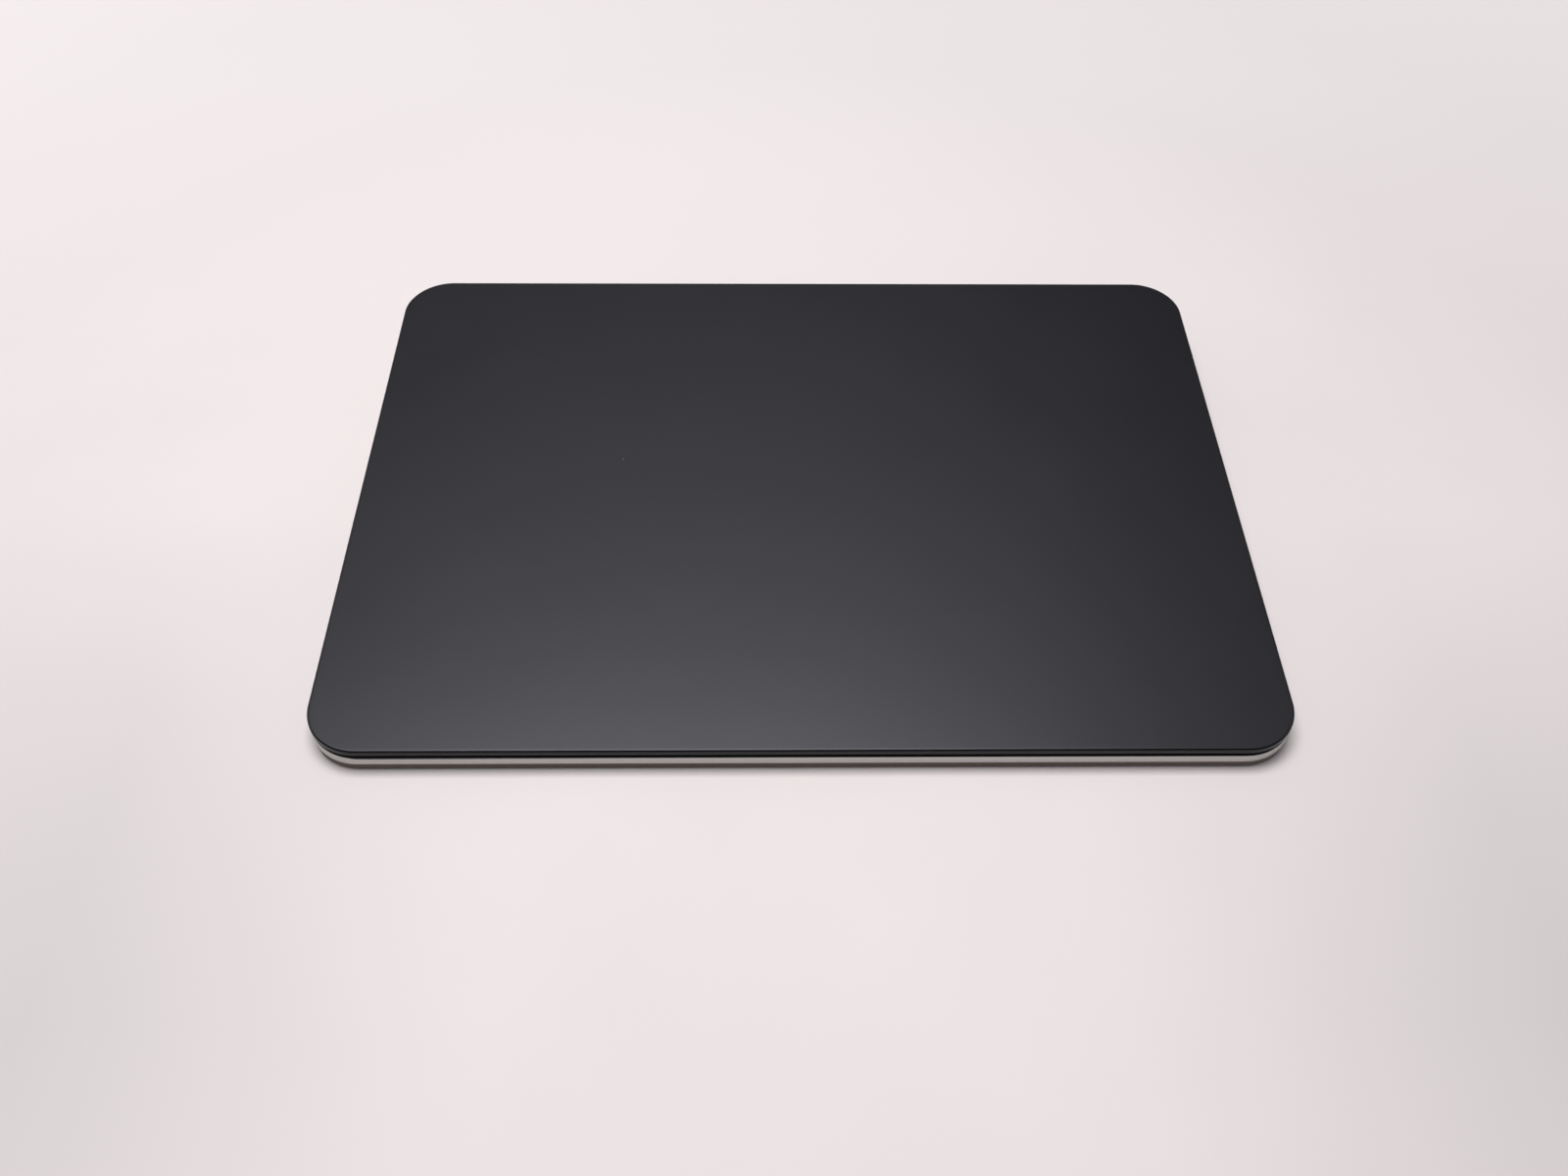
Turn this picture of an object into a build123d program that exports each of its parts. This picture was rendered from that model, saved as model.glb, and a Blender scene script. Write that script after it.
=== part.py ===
from build123d import *
from math import atan, cos, sin, sqrt, tan
import os

# A wireless desk trackpad: a black glass touch plate floating on four flexures over a wedge shaped
# aluminium tray. Millimetres, +Z up, +Y to the rear, origin on the desk under the middle.

# Overall form
width = 160.0
depth = 114.9
front_height = 4.9
rear_height = 10.9
corner_radius = 9.0
foot_height = 0.3
cut_overrun = 2.0

# Clearances, and how far the touch plate moves down and to each side
play = 0.5
slip_fit = 0.05
contact_gap = 0.02
plate_travel = 0.2
shake_travel = 0.15
travel_reserve = 0.1
rim_reserve = 0.35

# Touch plate, from the surface down
glass_thickness = 1.05
glass_bevel = 0.2
bond_thickness = 0.1
sensor_thickness = 0.8
stiffener_thickness = 0.4
attraction_thickness = 0.6

# Tray
wall = 1.6
floor_thickness = 1.0
skirt_rise = 1.25
skirt_run = 0.1
rim_bevel = 0.12
opening_bevel = 0.15

# Feet
foot_radius = 5.0
foot_sink = 0.3
foot_inset = 14.0
foot_bevel = 0.15

# Flexures and the gel pads under them
flexure_length = 26.0
flexure_width = 11.0
flexure_thickness = 0.3
flexure_neck_width = 5.0
flexure_head_length = 8.0
flexure_foot_length = 7.0
flexure_round = 1.2
flexure_slot_length = 7.0
flexure_slot_width = 1.0
gel_thickness = 0.3
gel_margin = 0.6
gauge_length = 4.0
gauge_width = 3.0
gauge_thickness = 0.1

# Screws
screw_radius = 0.6
screw_head_radius = 1.3
screw_head_height = 0.45
screw_edge_gap = 1.2
screw_reach_share = 0.8
screw_side_count = 8
boss_radius = 1.9
boss_side_count = 12

# Haptic actuator
actuator_length = 58.0
actuator_depth = 16.0
actuator_setback = 25.85
bracket_lift = 0.3
bracket_thickness = 0.3
bracket_ear = 7.0
core_base_thickness = 0.4
core_margin = 1.5
pole_count = 4
pole_length = 4.0
pole_width = 8.0
coil_build = 1.8
coil_relief = 0.1
flex_thickness = 0.15
actuator_flex_width = 4.0

# Battery
battery_bay_gap = 4.0
battery_air = 0.45
battery_seam = 0.3
battery_seam_share = 0.7
battery_ledge = 4.0
battery_ledge_thickness = 0.3
battery_bevel = 0.6
adhesive_thickness = 0.15
adhesive_width = 9.0
adhesive_count = 3
battery_board_length = 26.0
battery_board_width = 3.2
battery_board_thickness = 0.8
battery_lead_width = 6.0
rib_thickness = 0.8
rib_height = 1.2
rib_count = 3
rib_gap = 14.0

# Main board
board_thickness = 0.8
standoff_height = 1.2
board_block_length = 46.0
board_block_setback = 8.0
board_arm_depth = 10.0
board_screw_inset = 3.5
board_round = 0.8
chip_side = 5.0
chip_height = 0.8
shield_wall = 0.2
shield_height = 1.5
shield_round = 0.6
processor_shield_length = 24.0
processor_shield_width = 18.0
radio_shield_length = 16.0
radio_shield_width = 7.0
socket_length = 11.0
socket_width = 2.6
socket_height = 0.9
small_socket_length = 6.0
controller_side = 7.0
controller_height = 0.8
controller_count = 3
controller_gap = 2.0
sensor_flex_width = 10.0
sensor_flex_reach = 9.0
sensor_flex_bend_share = 0.4

# Antenna on the rear wall
antenna_length = 34.0
antenna_height = 3.6
antenna_thickness = 0.12
antenna_tail_width = 5.0
antenna_tail_reach = 2.2

# Charging port
port_width = 8.94
port_height = 3.16
port_length = 7.35
port_recess = 0.35
port_shell_wall = 0.3
collar_wall = 0.5
collar_flange = 0.8
collar_flange_thickness = 0.4
tongue_width = 6.7
tongue_thickness = 0.7
tongue_length = 4.5
tongue_recess = 0.8
contact_count = 12
contact_width = 0.25
contact_side_gap = 0.25
contact_length = 3.4
contact_thickness = 0.05
saddle_thickness = 0.3
saddle_depth = 4.0
saddle_ear = 4.6

# Power switch
slot_length = 9.6
slot_height = 2.2
switch_travel = 2.8
switch_setback = 21.2
knob_gap = 0.15
knob_recess = 0.15
knob_ridge_count = 3
knob_ridge_width = 0.3
knob_ridge_depth = 0.15
knob_ridge_gap = 0.6
slider_gap = 0.2
slider_flange_thickness = 0.5
slider_flange_lip = 0.35
indicator_thickness = 0.1
guide_gap = 0.15
guide_thickness = 0.5
guide_length = 20.0
guide_height = 4.0
guide_foot = 1.2
prong_length = 2.0
prong_width = 0.6
prong_height = 1.0
lever_width = 0.8
lever_base_length = 2.4
housing_length = 9.0
housing_depth = 3.4
housing_height = 2.7
housing_wall = 0.3

# Places worked out from the sizes above
tilt = atan((rear_height - front_height) / depth)
sensor_drop = glass_thickness + bond_thickness
plate_drop = sensor_drop + sensor_thickness
sensor_inset = wall + shake_travel + rim_reserve
spacer_thickness = plate_travel + travel_reserve
flexure_drop = plate_drop + spacer_thickness
gel_drop = flexure_drop + flexure_thickness
post_drop = gel_drop + gel_thickness
core_drop = plate_drop + attraction_thickness + plate_travel + travel_reserve
inner_floor = foot_height + floor_thickness
screw_step = flexure_width - 2 * (screw_head_radius + screw_edge_gap)
controller_step = controller_side + controller_gap
inner_x = width / 2 - wall
inner_y = depth / 2 - wall
inner_radius = corner_radius - wall
corner_room = inner_radius * (1 - sqrt(1 / 2))
flexure_x = inner_x - play - corner_room - flexure_length / 2
flexure_y = inner_y - play - corner_room - flexure_width / 2
head_x = flexure_x + (flexure_length - flexure_head_length) / 2
foot_x = flexure_x - (flexure_length - flexure_foot_length) / 2
post_inner_x = head_x - flexure_head_length / 2
post_inner_y = flexure_y - flexure_width / 2
actuator_y = actuator_setback + actuator_depth / 2 - inner_y
controller_x = -(actuator_length / 2 + inner_x) / 2
corners = {"front_left": (-1, -1), "front_right": (1, -1), "rear_left": (-1, 1), "rear_right": (1, 1)}

os.makedirs("parts", exist_ok=True)


def surface_height(y):
    """Height of the touch surface above the desk at depth position y."""
    return front_height + (y + depth / 2) * tan(tilt)


def height_at(y, drop):
    """Height of the level that lies drop under the touch surface, at depth position y."""
    return surface_height(y) - drop / cos(tilt)


def below(drop, x=0, y=0):
    """Plane parallel to the touch surface, drop under it, its origin square under (x, y) of the surface."""
    square = Vector(0, -sin(tilt), cos(tilt))
    return Plane(origin=Vector(x, y, surface_height(y)) - square * drop, x_dir=(1, 0, 0), z_dir=square)


def rear_view(y):
    """Upright plane at depth position y: local x is across, local y is up, extruding runs to the front."""
    return Plane.XZ.offset(-y)


def leaf(top_drop, thickness, inset):
    """A full sheet of the touch plate: the plan outline drawn in by inset, between two tilted levels."""
    with BuildPart() as sheet:
        with BuildSketch():
            RectangleRounded(width - 2 * inset, depth - 2 * inset, corner_radius - inset)
        extrude(amount=rear_height + cut_overrun)
        split(bisect_by=below(top_drop), keep=Keep.BOTTOM)
        split(bisect_by=below(top_drop + thickness), keep=Keep.TOP)
    return sheet.part


def screw_outline(radius, mode=Mode.ADD):
    """Outline of a small screw, or of the hole for it, with few sides, added to the sketch under way."""
    RegularPolygon(radius, screw_side_count, mode=mode)


# Glass plate, ground to the tray's outline, with a small bevel round its upper edge
with BuildPart() as glass_plate:
    add(leaf(0, glass_thickness, 0))
    chamfer(glass_plate.faces().sort_by(Axis.Z)[-1].edges(), glass_bevel)
glass_plate.part.label = "glass_plate"
export_step(glass_plate.part, "parts/glass_plate.step")

# Bonding sheet between the glass and the sensor board
with BuildPart() as bonding_sheet:
    add(leaf(glass_thickness, bond_thickness, sensor_inset))
bonding_sheet.part.label = "bonding_sheet"
export_step(bonding_sheet.part, "parts/bonding_sheet.step")

# Sensor board, glued under the glass
with BuildPart() as sensor_board:
    add(leaf(sensor_drop, sensor_thickness, sensor_inset))
sensor_board.part.label = "sensor_board"
export_step(sensor_board.part, "parts/sensor_board.step")

# Touch controllers, a row of chips on the underside of the sensor board
with BuildPart() as touch_controllers:
    with BuildSketch(below(plate_drop, controller_x, actuator_y)):
        with GridLocations(controller_step, controller_step, controller_count, 1):
            Rectangle(controller_side, controller_side)
    extrude(amount=-controller_height)
touch_controllers.part.label = "touch_controllers"
export_step(touch_controllers.part, "parts/touch_controllers.step")

# Outline of the battery bay and of the L shaped main board around it
battery_right = inner_x - play
board_left = play - inner_x
block_right = board_left + board_block_length
battery_left = block_right + 2 * play
battery_length = battery_right - battery_left
battery_front = actuator_y + actuator_depth / 2 + battery_bay_gap
battery_rear = post_inner_y - play
battery_depth = battery_rear - battery_front
battery_middle_y = (battery_front + battery_rear) / 2
battery_bottom = inner_floor + adhesive_thickness
stiffener_drop = plate_drop + stiffener_thickness
battery_thickness = height_at(battery_front, stiffener_drop) - battery_air - battery_bottom
board_rear = inner_y - play
board_right = post_inner_x - play
block_front = battery_front + board_block_setback
block_middle_x = (block_right + board_left) / 2
arm_front = board_rear - board_arm_depth
arm_middle_y = (arm_front + board_rear) / 2
board_bottom = inner_floor + standoff_height
board_top = board_bottom + board_thickness
sensor_socket_x = board_left + 2 * board_screw_inset + socket_length / 2
sensor_socket_y = block_front + play + socket_width / 2
sensor_connector_y = sensor_socket_y - sensor_flex_reach / 2

# Connector on the underside of the sensor board
with BuildPart() as sensor_connector:
    with BuildSketch(below(plate_drop, sensor_socket_x, sensor_connector_y)):
        Rectangle(socket_length, socket_width)
    extrude(amount=-socket_height)
sensor_connector.part.label = "sensor_connector"
export_step(sensor_connector.part, "parts/sensor_connector.step")

# Attraction plate, the steel target that the actuator's poles pull, slotted between the poles
pole_step = (actuator_length - 2 * core_margin) / pole_count
with BuildPart() as attraction_plate:
    with BuildSketch(below(plate_drop, 0, actuator_y)):
        Rectangle(actuator_length, actuator_depth)
        with GridLocations(pole_step, actuator_depth, pole_count - 1, 1):
            Rectangle(core_margin, pole_width, mode=Mode.SUBTRACT)
    extrude(amount=-attraction_thickness)
attraction_plate.part.label = "attraction_plate"
export_step(attraction_plate.part, "parts/attraction_plate.step")

# Stiffener frame, stamped steel under the sensor board, open round everything that hangs from the board
window_margin = 2 * play
controller_span = controller_step * controller_count
with BuildPart() as stiffener_frame:
    add(leaf(plate_drop, stiffener_thickness, sensor_inset))
    with BuildSketch(below(plate_drop)):
        for side_x, side_y in corners.values():
            with Locations((side_x * inner_x, side_y * inner_y)):
                Rectangle(
                    2 * (inner_x - foot_x + flexure_foot_length / 2 + play),
                    2 * (inner_y - post_inner_y + play),
                )
    extrude(amount=-stiffener_thickness - cut_overrun, mode=Mode.SUBTRACT)
    with BuildSketch(below(plate_drop, 0, actuator_y)):
        Rectangle(actuator_length + 2 * window_margin, actuator_depth + 2 * window_margin)
        with Locations((controller_x, 0), (-controller_x, 0)):
            Rectangle(controller_span, controller_side + 2 * window_margin)
    extrude(amount=-stiffener_thickness - cut_overrun, mode=Mode.SUBTRACT)
    with BuildSketch(below(plate_drop, sensor_socket_x, sensor_connector_y)):
        Rectangle(socket_length + 2 * window_margin, 2 * sensor_flex_reach)
    extrude(amount=-stiffener_thickness - cut_overrun, mode=Mode.SUBTRACT)
    with BuildSketch(below(plate_drop, (battery_left + battery_right) / 2, battery_middle_y)):
        with GridLocations(battery_length / rib_count, battery_depth, rib_count, 1):
            Rectangle(battery_length / rib_count - rib_gap, battery_depth - rib_gap)
    extrude(amount=-stiffener_thickness - cut_overrun, mode=Mode.SUBTRACT)
stiffener_frame.part.label = "stiffener_frame"
export_step(stiffener_frame.part, "parts/stiffener_frame.step")

# Spacers between the sensor board and the flexures' inboard ends
with BuildPart() as flexure_spacers:
    for side_x, side_y in corners.values():
        with BuildSketch(below(plate_drop, side_x * foot_x, side_y * flexure_y)):
            Rectangle(flexure_foot_length, flexure_width)
            with GridLocations(flexure_foot_length, screw_step, 1, 2):
                screw_outline(screw_radius + slip_fit, Mode.SUBTRACT)
        extrude(amount=-spacer_thickness)
flexure_spacers.part.label = "flexure_spacers"
export_step(flexure_spacers.part, "parts/flexure_spacers.step")

# Screws that hold the flexures to the spacers from below, two at each flexure's inboard end
with BuildPart() as flexure_screws:
    for side_x, side_y in corners.values():
        with BuildSketch(below(gel_drop, side_x * foot_x, side_y * flexure_y)):
            with GridLocations(flexure_foot_length, screw_step, 1, 2):
                screw_outline(screw_head_radius)
        extrude(amount=-screw_head_height)
        with BuildSketch(below(gel_drop, side_x * foot_x, side_y * flexure_y)):
            with GridLocations(flexure_foot_length, screw_step, 1, 2):
                screw_outline(screw_radius)
        extrude(amount=flexure_thickness + screw_reach_share * spacer_thickness)
flexure_screws.part.label = "flexure_screws"
export_step(flexure_screws.part, "parts/flexure_screws.step")

# Flexures: spring steel hammerheads, screwed to the plate inboard and resting on gel pads outboard,
# each with a strain gauge under its neck
for corner, (side_x, side_y) in corners.items():
    here = (side_x * flexure_x, side_y * flexure_y)
    with BuildPart() as flexure:
        with BuildSketch(below(flexure_drop, *here)) as flexure_outline:
            Rectangle(flexure_length - flexure_head_length, flexure_neck_width)
            with Locations((side_x * (head_x - flexure_x), 0)):
                Rectangle(flexure_head_length, flexure_width)
            with Locations((side_x * (foot_x - flexure_x), 0)):
                Rectangle(flexure_foot_length, flexure_width)
            fillet(flexure_outline.vertices().group_by(Axis.X)[1:-1], flexure_round)
            with Locations((side_x * (foot_x - flexure_x), 0)):
                with GridLocations(flexure_foot_length, screw_step, 1, 2):
                    screw_outline(screw_radius + slip_fit, Mode.SUBTRACT)
            with Locations((side_x * (head_x - flexure_x), 0)):
                Rectangle(flexure_slot_width, flexure_slot_length, mode=Mode.SUBTRACT)
        extrude(amount=-flexure_thickness)
    flexure.part.label = f"flexure_{corner}"
    export_step(flexure.part, f"parts/flexure_{corner}.step")

    with BuildPart() as strain_gauge:
        with BuildSketch(below(gel_drop, *here)):
            Rectangle(gauge_length, gauge_width)
        extrude(amount=-gauge_thickness)
    strain_gauge.part.label = f"strain_gauge_{corner}"
    export_step(strain_gauge.part, f"parts/strain_gauge_{corner}.step")

    with BuildPart() as gel_pad:
        with BuildSketch(below(gel_drop, side_x * head_x, side_y * flexure_y)):
            Rectangle(flexure_head_length - 2 * gel_margin, flexure_width - 2 * gel_margin)
        extrude(amount=-gel_thickness)
    gel_pad.part.label = f"gel_pad_{corner}"
    export_step(gel_pad.part, f"parts/gel_pad_{corner}.step")

# Haptic actuator: a slotted bracket on four bosses, a core with upright poles and a coil on each pole.
# Its poles use the height that the wedge leaves at the actuator's front edge.
actuator_front = actuator_y - actuator_depth / 2
actuator_room = height_at(actuator_front, core_drop) - inner_floor
pole_height = actuator_room - bracket_lift - bracket_thickness - core_base_thickness
core_base_drop = core_drop + pole_height
bracket_drop = core_base_drop + core_base_thickness
bracket_bottom_drop = bracket_drop + bracket_thickness
bracket_length = actuator_length + 2 * bracket_ear
actuator_screw_x = actuator_length / 2 + bracket_ear - screw_head_radius - play
actuator_screw_y = actuator_depth / 2 - screw_head_radius - play
actuator_screw_places = [
    (side_x * actuator_screw_x, actuator_y + side_y * actuator_screw_y) for side_x, side_y in corners.values()
]

with BuildPart() as actuator_bracket:
    with BuildSketch(below(bracket_drop, 0, actuator_y)):
        RectangleRounded(bracket_length, actuator_depth, core_margin)
        with GridLocations(2 * actuator_screw_x, 2 * actuator_screw_y, 2, 2):
            screw_outline(screw_radius + slip_fit, Mode.SUBTRACT)
    extrude(amount=-bracket_thickness)
actuator_bracket.part.label = "actuator_bracket"
export_step(actuator_bracket.part, "parts/actuator_bracket.step")

with BuildPart() as actuator_core:
    with BuildSketch(below(core_base_drop, 0, actuator_y)):
        Rectangle(actuator_length - core_margin, actuator_depth - core_margin)
    extrude(amount=-core_base_thickness)
    with BuildSketch(below(core_base_drop, 0, actuator_y)):
        with GridLocations(pole_step, actuator_depth, pole_count, 1):
            Rectangle(pole_length, pole_width)
    extrude(amount=pole_height)
actuator_core.part.label = "actuator_core"
export_step(actuator_core.part, "parts/actuator_core.step")

for number in range(pole_count):
    coil_x = (number - (pole_count - 1) / 2) * pole_step
    with BuildPart() as actuator_coil:
        with BuildSketch(below(core_base_drop, coil_x, actuator_y)):
            RectangleRounded(pole_length + 2 * coil_build, pole_width + 2 * coil_build, coil_build)
            Rectangle(pole_length + 2 * slip_fit, pole_width + 2 * slip_fit, mode=Mode.SUBTRACT)
        extrude(amount=pole_height - coil_relief)
    actuator_coil.part.label = f"actuator_coil_{number + 1}"
    export_step(actuator_coil.part, f"parts/actuator_coil_{number + 1}.step")

with BuildPart() as actuator_screws:
    for x, y in actuator_screw_places:
        with BuildSketch(below(bracket_drop, x, y)):
            screw_outline(screw_head_radius)
        extrude(amount=screw_head_height)
        with BuildSketch(below(bracket_drop, x, y)):
            screw_outline(screw_radius)
        extrude(amount=-bracket_thickness - bracket_lift)
actuator_screws.part.label = "actuator_screws"
export_step(actuator_screws.part, "parts/actuator_screws.step")

# Screw places on the main board: three corners of its block, the end of its arm, and the port's saddle
board_notch_x = play - post_inner_x
board_notch_y = post_inner_y - play
board_screw_places = [
    (board_left + board_screw_inset, block_front + board_screw_inset),
    (block_right - board_screw_inset, block_front + board_screw_inset),
    (board_notch_x + board_screw_inset, board_rear - board_screw_inset),
    (board_right - board_screw_inset, arm_middle_y),
]
port_screw_x = port_width / 2 + saddle_ear / 2
saddle_rear = board_rear - play
port_screw_y = saddle_rear - saddle_depth / 2
port_screw_places = [(-port_screw_x, port_screw_y), (port_screw_x, port_screw_y)]
port_z = board_top + port_height / 2
collar_reach = collar_wall + slip_fit
slot_x = board_notch_x + switch_setback

# Tray: machined from one billet, with a drawn in skirt, corner posts, bosses, standoffs and battery ribs
case_middle = foot_height + skirt_rise
with BuildPart() as base_case:
    with BuildSketch(Plane.XY.offset(foot_height)):
        RectangleRounded(width - 2 * skirt_run, depth - 2 * skirt_run, corner_radius - skirt_run)
    with BuildSketch(Plane.XY.offset(case_middle)):
        RectangleRounded(width, depth, corner_radius)
    loft(ruled=True)
    with BuildSketch(Plane.XY.offset(case_middle)):
        RectangleRounded(width, depth, corner_radius)
    extrude(amount=rear_height)
    split(bisect_by=below(plate_drop), keep=Keep.BOTTOM)
    chamfer(base_case.faces().sort_by(Axis.Z)[-1].edges(), rim_bevel)
    with BuildSketch(Plane.XY.offset(inner_floor)):
        RectangleRounded(2 * inner_x, 2 * inner_y, inner_radius)
        for side_x, side_y in corners.values():
            with Locations((side_x * inner_x, side_y * inner_y)):
                Rectangle(2 * (inner_x - post_inner_x), 2 * (inner_y - post_inner_y), mode=Mode.SUBTRACT)
    extrude(amount=rear_height, mode=Mode.SUBTRACT)
    with BuildSketch(below(post_drop)):
        RectangleRounded(2 * inner_x, 2 * inner_y, inner_radius)
    extrude(amount=rear_height, mode=Mode.SUBTRACT)
    # Port opening and switch slot in the rear wall, bevelled on the outside
    with BuildSketch(rear_view(depth / 2 + cut_overrun)):
        with Locations((0, port_z)):
            SlotOverall(
                port_width + 2 * (collar_reach + slip_fit), port_height + 2 * (collar_reach + slip_fit)
            )
        with Locations((slot_x, port_z)):
            SlotOverall(slot_length, slot_height)
    extrude(amount=wall + 2 * cut_overrun, mode=Mode.SUBTRACT)
    chamfer(base_case.faces().sort_by(Axis.Y)[-1].inner_wires().edges(), opening_bevel)
    # Standoffs for the main board
    with BuildSketch(Plane.XY.offset(inner_floor)):
        with Locations(*board_screw_places, *port_screw_places):
            RegularPolygon(boss_radius, boss_side_count)
            screw_outline(screw_radius + slip_fit, Mode.SUBTRACT)
    extrude(amount=standoff_height)
    # Bosses for the actuator, their tops parallel to the touch surface
    for x, y in actuator_screw_places:
        boss_height = height_at(y, bracket_bottom_drop) - inner_floor
        with BuildSketch(below(bracket_bottom_drop, x, y)):
            RegularPolygon(boss_radius, boss_side_count)
        extrude(amount=-boss_height - floor_thickness / 2)
        with BuildSketch(below(bracket_bottom_drop, x, y)):
            screw_outline(screw_radius + slip_fit)
        extrude(amount=-boss_height, mode=Mode.SUBTRACT)
    # Ribs along the front and rear of the battery bay
    rib_length = (battery_length - rib_gap * (rib_count - 1)) / rib_count
    with BuildSketch(Plane.XY.offset(inner_floor)):
        with Locations(((battery_left + battery_right) / 2, battery_middle_y)):
            with GridLocations(rib_length + rib_gap, battery_depth + play + rib_thickness, rib_count, 2):
                Rectangle(rib_length, rib_thickness)
    extrude(amount=rib_height)
    # Pockets for the feet
    with BuildSketch(Plane.XY.offset(foot_height)):
        with GridLocations(width - 2 * foot_inset, depth - 2 * foot_inset, 2, 2):
            Circle(foot_radius + slip_fit)
    extrude(amount=foot_sink, mode=Mode.SUBTRACT)
base_case.part.label = "base_case"
export_step(base_case.part, "parts/base_case.step")

# Rubber feet, set into pockets in the tray
for corner, (side_x, side_y) in corners.items():
    with BuildPart() as foot:
        with BuildSketch():
            with Locations((side_x * (width / 2 - foot_inset), side_y * (depth / 2 - foot_inset))):
                Circle(foot_radius)
        extrude(amount=foot_height + foot_sink)
        chamfer(foot.faces().sort_by(Axis.Z)[0].edges(), foot_bevel)
    foot.part.label = f"foot_{corner}"
    export_step(foot.part, f"parts/foot_{corner}.step")

# Battery: a foil pouch with folded side seams and a sealed ledge that carries its protection board
cell_left = battery_left + battery_ledge
cell_length = battery_right - cell_left
ledge_bottom = battery_bottom + (battery_thickness - battery_ledge_thickness) / 2
with BuildPart() as battery_cell:
    with BuildSketch(Plane.XY.offset(battery_bottom)):
        with Locations(((cell_left + battery_right) / 2, battery_middle_y)):
            Rectangle(cell_length, battery_depth - 2 * battery_seam)
    extrude(amount=battery_thickness)
    chamfer(battery_cell.faces().sort_by(Axis.Z)[-1].edges(), battery_bevel)
    with BuildSketch(Plane.XY.offset(battery_bottom)):
        with Locations(((cell_left + battery_right) / 2, battery_middle_y)):
            with GridLocations(cell_length, battery_depth - battery_seam, 1, 2):
                Rectangle(cell_length, battery_seam)
    extrude(amount=battery_seam_share * battery_thickness)
    with BuildSketch(Plane.XY.offset(ledge_bottom)):
        with Locations((cell_left, battery_middle_y)):
            Rectangle(battery_ledge, battery_board_length + battery_ledge, align=(Align.MAX, Align.CENTER))
    extrude(amount=battery_ledge_thickness)
battery_cell.part.label = "battery_cell"
export_step(battery_cell.part, "parts/battery_cell.step")

# Stretch release strips that hold the battery to the tray floor
with BuildPart() as battery_adhesive:
    with BuildSketch(Plane.XY.offset(inner_floor)):
        with Locations(((cell_left + battery_right) / 2, battery_middle_y)):
            with GridLocations(cell_length / adhesive_count, battery_depth, adhesive_count, 1):
                Rectangle(adhesive_width, battery_depth - 2 * adhesive_width)
    extrude(amount=adhesive_thickness)
battery_adhesive.part.label = "battery_adhesive"
export_step(battery_adhesive.part, "parts/battery_adhesive.step")

# Protection board on the battery's ledge
battery_board_bottom = ledge_bottom + battery_ledge_thickness
battery_board_top = battery_board_bottom + battery_board_thickness
with BuildPart() as battery_board:
    with BuildSketch(Plane.XY.offset(battery_board_bottom)):
        with Locations((cell_left - battery_ledge / 2, battery_middle_y)):
            Rectangle(battery_board_width, battery_board_length)
    extrude(amount=battery_board_thickness)
battery_board.part.label = "battery_board"
export_step(battery_board.part, "parts/battery_board.step")

# Main board: L shaped, notched round the rear left post
with BuildPart() as main_board:
    with BuildSketch(Plane.XY.offset(board_bottom)) as board_outline:
        with BuildLine():
            Polyline(
                (board_left, block_front),
                (block_right, block_front),
                (block_right, arm_front),
                (board_right, arm_front),
                (board_right, board_rear),
                (board_notch_x, board_rear),
                (board_notch_x, board_notch_y),
                (board_left, board_notch_y),
                close=True,
            )
        make_face()
        fillet(board_outline.vertices(), board_round)
        with Locations(*board_screw_places, *port_screw_places):
            screw_outline(screw_radius + slip_fit, Mode.SUBTRACT)
    extrude(amount=board_thickness)
main_board.part.label = "main_board"
export_step(main_board.part, "parts/main_board.step")


def shield_can(x, y, length, breadth):
    """A folded sheet metal can with round corners, open to the board."""
    with BuildPart() as can:
        with BuildSketch(Plane.XY.offset(board_top)):
            with Locations((x, y)):
                RectangleRounded(length, breadth, shield_round)
        extrude(amount=shield_height)
        with BuildSketch(Plane.XY.offset(board_top)):
            with Locations((x, y)):
                RectangleRounded(
                    length - 2 * shield_wall, breadth - 2 * shield_wall, shield_round - shield_wall
                )
        extrude(amount=shield_height - shield_wall, mode=Mode.SUBTRACT)
    return can


# Shield cans over the processor on the block and over the radio on the arm
processor_y = (block_front + battery_rear) / 2
processor_shield = shield_can(block_middle_x, processor_y, processor_shield_length, processor_shield_width)
processor_shield.part.label = "processor_shield"
export_step(processor_shield.part, "parts/processor_shield.step")

radio_x = (port_screw_x + board_right) / 2
radio_y = inner_y - antenna_tail_reach - play - radio_shield_width / 2
radio_shield = shield_can(radio_x, radio_y, radio_shield_length, radio_shield_width)
radio_shield.part.label = "radio_shield"
export_step(radio_shield.part, "parts/radio_shield.step")

# Chips: the processor and the radio under their cans, and power parts along the block's sides
with BuildPart() as board_chips:
    with BuildSketch(Plane.XY.offset(board_top)):
        with Locations((block_middle_x, processor_y), (radio_x, radio_y)):
            Rectangle(chip_side, chip_side)
        with Locations((block_middle_x, processor_y)):
            with GridLocations(processor_shield_length + chip_side + 2 * play, 2 * chip_side, 2, 2):
                Rectangle(chip_side, chip_side)
    extrude(amount=chip_height)
board_chips.part.label = "board_chips"
export_step(board_chips.part, "parts/board_chips.step")

# Sockets on the main board, the battery's beside the rear end of the protection board
battery_lead_y = battery_middle_y + (battery_board_length - battery_lead_width) / 2 - play
with BuildPart() as battery_socket:
    with BuildSketch(Plane.XY.offset(board_top)):
        with Locations((block_right - play - socket_width / 2, battery_lead_y)):
            Rectangle(socket_width, small_socket_length)
    extrude(amount=socket_height)
battery_socket.part.label = "battery_socket"
export_step(battery_socket.part, "parts/battery_socket.step")

with BuildPart() as sensor_socket:
    with BuildSketch(Plane.XY.offset(board_top)):
        with Locations((sensor_socket_x, sensor_socket_y)):
            Rectangle(socket_length, socket_width)
    extrude(amount=socket_height)
sensor_socket.part.label = "sensor_socket"
export_step(sensor_socket.part, "parts/sensor_socket.step")

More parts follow.
